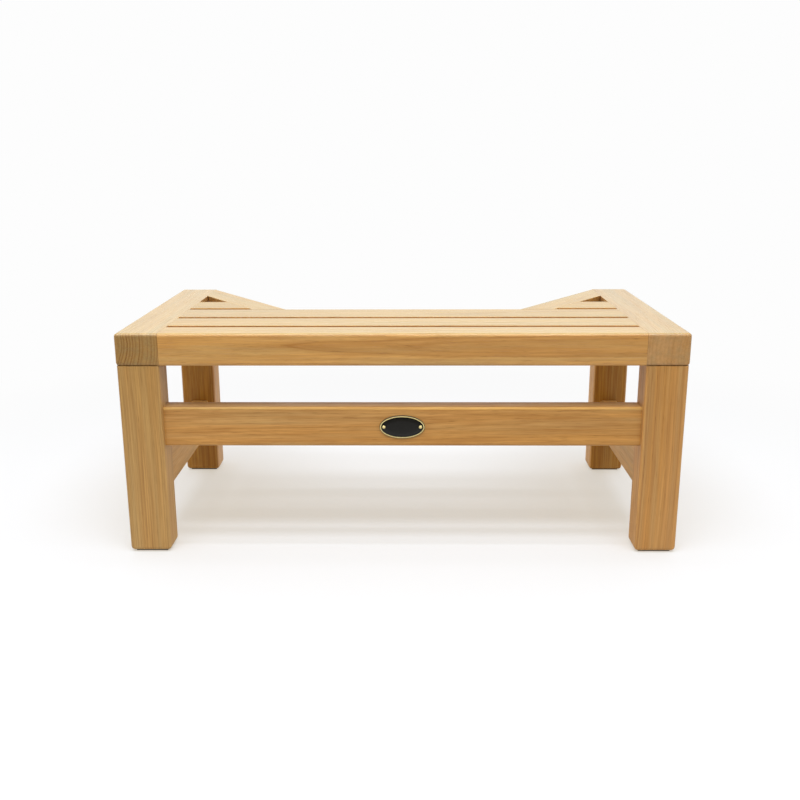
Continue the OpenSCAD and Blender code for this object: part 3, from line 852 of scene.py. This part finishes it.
class STOOL_OT_nameplate(bpy.types.Operator):
    """Models the oval brass plate with its raised rim, its bare enamel and its two pins"""

    bl_idname = "stool.nameplate"
    bl_label = "Nameplate"

    def execute(self, context):
        plate, s = context.scene.stool_plate, sizes()
        rim = plate.thickness + plate.rim_height
        body = oval_disc("nameplate_brass", plate.width, plate.height, 0, rim)
        edit(body)
        pick(body, faces_front)
        bpy.ops.mesh.inset(thickness=plate.rim_width, depth=0)
        bpy.ops.mesh.extrude_region_move(TRANSFORM_OT_translate={"value": (0, plate.rim_height, 0)})
        done()
        top_y = s.stretcher_y - rim + NEAR

        def on_rim(edge):
            return all(corner.co.y < top_y for corner in edge.verts)

        def outer(edge):
            place = middle(edge)
            across, up = place.x / plate.width, (place.z - s.plate_z) / plate.height
            return math.hypot(across, up) > 0.5 - plate.rim_width / plate.width / 2

        round_arrises(body, [
            (plate.rim_slope, lambda e: on_rim(e) and outer(e)),
            (plate.rim_inner_arris, lambda e: on_rim(e) and not outer(e)),
        ])
        finish_piece(body, brass("brass_with_painted_edge_shade", 0.97), "nameplate")

        border = 2 * (plate.rim_width + plate.enamel_gap)
        glass = oval_disc("nameplate_enamel_black", plate.width - border, plate.height - border,
                          plate.thickness, plate.thickness + plate.enamel)
        # Fired enamel stands a little proud in the middle: rings step up to a dome
        steps, ring_width, crown = 5, 0.9 * MM, plate.enamel / 2
        edit(glass)
        pick(glass, faces_front)
        bpy.ops.transform.translate(value=(0, crown, 0))
        for left in range(steps, 0, -1):
            bpy.ops.mesh.inset(thickness=ring_width, depth=0)
            bpy.ops.transform.translate(value=(0, -crown * (2 * left - 1) / steps ** 2, 0))
        done()
        finish_piece(glass, enamel(), "nameplate_enamel")

        left, right = (self.pin(side * (plate.width / 2 - plate.pin_inset)) for side in (-1, 1))
        only(left)
        right.select_set(True)
        bpy.ops.object.join()
        pins = settled("nameplate_pins_brass")
        # The sides of the pins' domed heads get the painted shade
        finish_piece(pins, brass("lacquered_brass", 0.5), "nameplate_pins")
        return {"FINISHED"}

    def pin(self, x):
        """A pin with a domed head: a shank whose end is drawn out to the head and in again."""
        plate, s = bpy.context.scene.stool_plate, sizes()
        face_y, radius = s.stretcher_y - plate.thickness - plate.enamel, plate.pin_diameter / 2
        depth = plate.pin_depth + plate.thickness + plate.enamel
        select_none()
        bpy.ops.mesh.primitive_cylinder_add(vertices=32, radius=radius, depth=depth,
                                            location=(x, face_y + depth / 2, s.plate_z),
                                            rotation=(math.pi / 2, 0, 0))
        pin = settled("nameplate_pin")
        head, steps, rise = plate.pin_head_height, 6, 0.0
        ball = ((plate.pin_head / 2) ** 2 + head ** 2) / (2 * head)
        edit(pin)
        pick(pin, faces_front)
        for step in range(steps):
            new_rise = head * step / steps
            new_radius = math.sqrt(ball ** 2 - (ball - head + new_rise) ** 2)
            bpy.ops.mesh.extrude_region_move(TRANSFORM_OT_translate={"value": (0, rise - new_rise, 0)})
            bpy.ops.transform.resize(value=(new_radius / radius, 1, new_radius / radius),
                                     center_override=(x, face_y - new_rise, s.plate_z))
            radius, rise = new_radius, new_rise
        bpy.ops.mesh.extrude_region_move(TRANSFORM_OT_translate={"value": (0, rise - head, 0)})
        bpy.ops.mesh.merge(type="CENTER")
        done()
        return pin


class STOOL_OT_dowels(bpy.types.Operator):
    """Gives the hidden dowels their beech"""

    bl_idname = "stool.dowels"
    bl_label = "Dowels"

    def execute(self, context):
        wood = beech()
        for name in ("diagonal_dowels", "corner_slat_dowels"):
            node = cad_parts[name]
            node.data.materials.clear()
            node.data.materials.append(wood)
        return {"FINISHED"}


def add_floor(stage):
    """Adds the floor, which fades into the backdrop round the stool."""
    select_none()
    bpy.ops.mesh.primitive_plane_add(size=stage.floor_size)
    floor = bpy.context.active_object
    floor.name = "studio_floor"
    material, tree = new_material("matt_white_floor")
    where = add_node(tree, "TexCoord")
    distance = add_node(tree, "VectorMath", {0: where.outputs["Object"]}, operation="LENGTH")
    far = add_node(tree, "MapRange", {0: distance, 1: stage.floor_near, 2: stage.floor_far},
                   interpolation_type="SMOOTHSTEP")
    path = add_node(tree, "LightPath")
    camera_ray = path.outputs["Is Camera Ray"]
    share = add_node(tree, "Math", {0: far, 1: camera_ray}, operation="MULTIPLY")
    # The floor is bright as far as the table reaches, and dim between there and the camera
    place = add_node(tree, "SeparateXYZ", {0: where.outputs["Object"]})
    edge = sizes().front_y - stage.table_edge
    lit = add_node(tree, "MapRange", {0: place.outputs["Y"], 1: edge - stage.table_fade,
                                      2: edge + stage.table_fade, 3: stage.floor_dim, 4: stage.floor_bounce})
    gloss = add_node(tree, "MapRange", {0: path.outputs["Is Glossy Ray"], 3: 1.0, 4: stage.floor_gloss})
    lit = add_node(tree, "Math", {0: lit, 1: gloss}, operation="MULTIPLY")
    lit = add_node(tree, "MapRange", {0: camera_ray, 3: lit, 4: 1.0})
    shown = add_node(tree, "VectorMath", {0: tuple(stage.floor), 1: lit}, operation="MULTIPLY")
    near = add_node(tree, "BsdfDiffuse", {"Color": shown})
    lift = add_node(tree, "Emission", {"Color": (*stage.floor_lift, 1), "Strength": lit})
    near = add_node(tree, "AddShader", {0: near, 1: lift})
    backdrop = add_node(tree, "Emission", {"Color": (*stage.backdrop, 1)})
    mix = add_node(tree, "MixShader", {0: share, 1: near, 2: backdrop})
    add_node(tree, "OutputMaterial", {"Surface": mix})
    floor.data.materials.append(material)


def light_room(scene, stage):
    """Lights the stool by the white backdrop behind it, and by a dimmer room on the camera's side."""
    scene.world = scene.world or bpy.data.worlds.new("studio")
    tree = emptied(scene.world)
    path = add_node(tree, "LightPath")
    where = add_node(tree, "TexCoord")
    toward = add_node(tree, "SeparateXYZ", {0: where.outputs["Generated"]})
    behind, up = toward.outputs["Y"], toward.outputs["Z"]
    room = add_node(tree, "MapRange", {0: behind, 1: -0.2, 2: 0.4, 3: stage.room_light, 4: 1.0})
    # The foot of the backdrop, behind and beside the stool, is lit brighter than the rest of it
    low = add_node(tree, "MapRange", {0: up, 1: 0.3, 2: 0.05})
    beside = add_node(tree, "MapRange", {0: behind, 1: -0.5, 2: 0.1, 3: 0.0, 4: stage.backdrop_foot})
    glow = add_node(tree, "Math", {0: low, 1: beside}, operation="MULTIPLY")
    glow = add_node(tree, "Math", {0: glow, 1: path.outputs["Is Diffuse Ray"]}, operation="MULTIPLY")
    room = add_node(tree, "Math", {0: room, 1: glow}, operation="ADD")
    soft = add_node(tree, "Background", {"Color": (1, 1, 1, 1), "Strength": room})
    plain = add_node(tree, "Background", {"Color": (*stage.backdrop, 1)})
    mix = add_node(tree, "MixShader", {0: path.outputs["Is Camera Ray"], 1: soft, 2: plain})
    add_node(tree, "OutputWorld", {"Surface": mix})


def add_softboxes(stage):
    """Adds long softboxes side to side overhead, turned to the top."""
    aim = Vector((0, -0.05, 0))
    # The place of each one from front to rear, its depth, and its share of the power
    for name, y, depth, share in (
            ("softbox_rear", 0.08, 0.10, 0.05), ("softbox_near", -0.34, 0.08, 0.18),
            ("softbox_middle", -0.74, 0.26, 0.38), ("softbox_far", -1.37, 0.25, 0.39)):
        place = Vector((0, y, stage.light_height))
        turn = (aim - place).to_track_quat("-Z", "Y").to_euler()
        bpy.ops.object.light_add(type="AREA", location=place, rotation=turn)
        light = bpy.context.active_object
        light.name = light.data.name = name
        light.data.shape = "RECTANGLE"
        light.data.size, light.data.size_y = stage.light_width, depth
        light.data.energy = stage.light_power * share


def add_camera(scene, stage):
    """Adds the camera, placed and turned as the one that took the photograph."""
    turn = (Matrix.Rotation(-stage.camera_turn, 3, "Z")
            @ Matrix.Rotation(math.pi / 2 - stage.camera_pitch, 3, "X")
            @ Matrix.Rotation(stage.camera_roll, 3, "Z"))
    bpy.ops.object.camera_add(location=stage.camera_place, rotation=turn.to_euler())
    camera = bpy.context.active_object
    camera.data.sensor_width, camera.data.lens = 36, stage.lens
    scene.camera = camera


class STOOL_OT_stage(bpy.types.Operator):
    """Sets up the floor, the soft light, the pale surroundings and the camera"""

    bl_idname = "stool.stage"
    bl_label = "Stage"

    def execute(self, context):
        scene, stage = context.scene, context.scene.stool_stage
        add_floor(stage)
        light_room(scene, stage)
        add_softboxes(stage)
        add_camera(scene, stage)
        scene.view_settings.view_transform = "Standard"
        return {"FINISHED"}


OPERATORS = (
    STOOL_OT_stage, STOOL_OT_side_rails, STOOL_OT_cross_boards, STOOL_OT_corner_slats,
    STOOL_OT_diagonal_rails, STOOL_OT_legs, STOOL_OT_stretchers, STOOL_OT_foot_pads,
    STOOL_OT_nameplate, STOOL_OT_dowels,
)
GROUPS = {
    "stool_top": StoolTopSettings,
    "stool_frame": StoolFrameSettings,
    "stool_plate": StoolPlateSettings,
    "stool_teak": StoolTeakSettings,
    "stool_stage": StoolStageSettings,
}


class STOOL_PT_panel(bpy.types.Panel):
    """Lists the settings and the pieces of the stool"""

    bl_idname = "STOOL_PT_panel"
    bl_label = "Toilet stool"
    bl_space_type = "VIEW_3D"
    bl_region_type = "UI"
    bl_category = "Stool"

    def draw(self, context):
        for name in GROUPS:
            settings = getattr(context.scene, name)
            box = self.layout.box()
            for prop in settings.bl_rna.properties:
                if prop.identifier not in {"rna_type", "name"}:
                    box.prop(settings, prop.identifier)
        for operator in OPERATORS:
            self.layout.operator(operator.bl_idname)


CLASSES = (*GROUPS.values(), *OPERATORS, STOOL_PT_panel)


def register():
    for kind in CLASSES:
        bpy.utils.register_class(kind)
    for name, group in GROUPS.items():
        setattr(bpy.types.Scene, name, bpy.props.PointerProperty(type=group))


def unregister():
    for name in GROUPS:
        delattr(bpy.types.Scene, name)
    for kind in reversed(CLASSES):
        bpy.utils.unregister_class(kind)


def main():
    """Registers the add-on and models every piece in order."""
    register()
    for operator in OPERATORS:
        getattr(bpy.ops.stool, operator.bl_idname.split(".")[1])()
    select_none()


if __name__ == "__main__":
    main()
